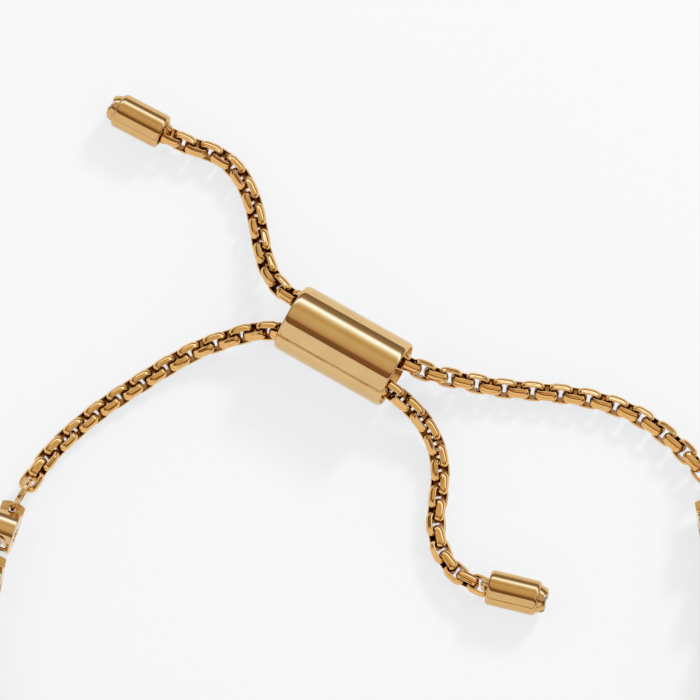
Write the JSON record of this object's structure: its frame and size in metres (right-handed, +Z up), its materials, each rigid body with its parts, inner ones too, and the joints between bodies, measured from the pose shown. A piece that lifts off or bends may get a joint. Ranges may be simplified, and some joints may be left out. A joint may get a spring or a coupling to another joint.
{
  "type": "bolo slider bracelet",
  "caption": "Adjustable bracelet: a row of drum links and two box chain strands that run through one round slider and end in crystal-set tube caps.",
  "frame": {"origin": "middle of the whole lying outline, on the surface it rests on", "axes": "+Z up from the surface; +X towards the right end of the front, seen with the slider at the far side; +Y away from the front"},
  "size_m": [0.0806, 0.0864, 0.0074],
  "materials": {
    "gold_plate": "polished",
    "core": "matte",
    "crystal": "polished"
  },
  "bodies": {
    "root": {"slider_barrel": "gold_plate", "chain_left_loop": "gold_plate", "chain_right_tail": "gold_plate", "chain_right_loop": "gold_plate", "chain_left_tail": "gold_plate", "end_cap_left": "gold_plate", "end_cap_right": "gold_plate", "jump_ring_left": "gold_plate", "jump_ring_right": "gold_plate", "front_link_01": "gold_plate", "front_link_02": "gold_plate", "front_link_03": "gold_plate", "front_link_04": "gold_plate", "front_link_05": "gold_plate", "front_link_06": "gold_plate", "front_link_07": "gold_plate", "front_link_08": "gold_plate", "front_link_09": "gold_plate", "front_link_10": "gold_plate", "front_link_11": "gold_plate", "front_link_12": "gold_plate", "front_link_13": "gold_plate", "front_link_14": "gold_plate", "front_link_15": "gold_plate", "front_link_16": "gold_plate", "front_link_17": "gold_plate", "front_link_18": "gold_plate", "front_link_19": "gold_plate", "front_link_20": "gold_plate", "front_link_21": "gold_plate", "front_link_22": "gold_plate", "front_link_23": "gold_plate", "front_rings_left": "gold_plate", "front_rings_right": "gold_plate", "slider_core": "core", "crystal_left": "crystal", "crystal_right": "crystal"}
  },
  "joints": []
}
